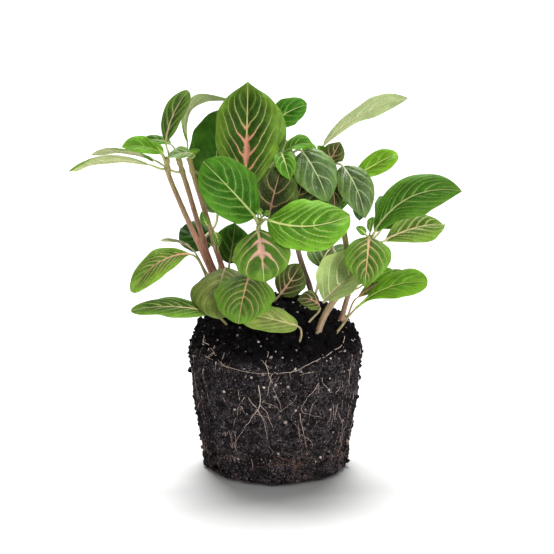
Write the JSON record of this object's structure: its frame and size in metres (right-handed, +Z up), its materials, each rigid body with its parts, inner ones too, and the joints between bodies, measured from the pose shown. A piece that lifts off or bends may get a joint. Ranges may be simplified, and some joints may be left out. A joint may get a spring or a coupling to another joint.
{
  "type": "nerve plant with root ball",
  "caption": "Small bushy house plant with oval, pale-veined leaves on slender stems, standing on its bare pot-shaped root ball.",
  "frame": {"origin": "centre of the root ball's flat underside", "axes": "+Z up through the plant, -Y towards the front, +X to the right seen from the front"},
  "size_m": [0.2472, 0.1429, 0.2571],
  "materials": {
    "soil": "crumbly dark peat with pale perlite",
    "stem": "soft, pinkish brown to yellow-green",
    "leaf": "satin leaf with pale and pink veins",
    "root": "matte, pale"
  },
  "bodies": {
    "root": {"back_left": "leaf", "back_low_left": "leaf", "back_low_right": "leaf", "back_middle": "leaf", "back_right": "leaf", "crown_back": "leaf", "crown_front": "leaf", "crown_side": "leaf", "crown_small": "leaf", "front_stem": "stem", "inner_green": "leaf", "left_arm_lower": "leaf", "left_arm_upper": "leaf", "left_inner_stem": "stem", "left_inner_young": "leaf", "left_middle_stem": "stem", "left_outer_stem": "stem", "left_tip_arching": "leaf", "left_tip_behind": "leaf", "left_tip_bright": "leaf", "left_tip_upright": "leaf", "low_dark": "leaf", "low_front_striped": "leaf", "low_left_arching": "leaf", "low_left_dark": "leaf", "low_left_long": "leaf", "low_left_narrow": "leaf", "low_left_pale": "leaf", "low_right_back": "leaf", "low_right_front": "leaf", "low_right_underside": "leaf", "middle_left": "leaf", "middle_right": "leaf", "rear_arching_long": "leaf", "rear_bud": "leaf", "rear_dark_hanging": "leaf", "rear_dark_upright": "leaf", "rear_grey_hanging": "leaf", "rear_stem": "stem", "right_behind": "leaf", "right_bright": "leaf", "right_grey_green": "leaf", "right_hanging": "leaf", "right_long": "leaf", "right_lower": "leaf", "right_narrow_back": "leaf", "right_stem": "stem", "root_across_left": "root", "root_across_right": "root", "root_ball": "soil", "root_down_middle": "root", "root_down_right": "root", "rosette_hanging": "leaf", "rosette_left": "leaf", "rosette_right": "leaf", "soil_arched": "leaf", "soil_folded": "leaf", "tall_stem": "stem", "tall_tip_curled": "leaf", "tall_tip_folded": "leaf"}
  },
  "joints": []
}
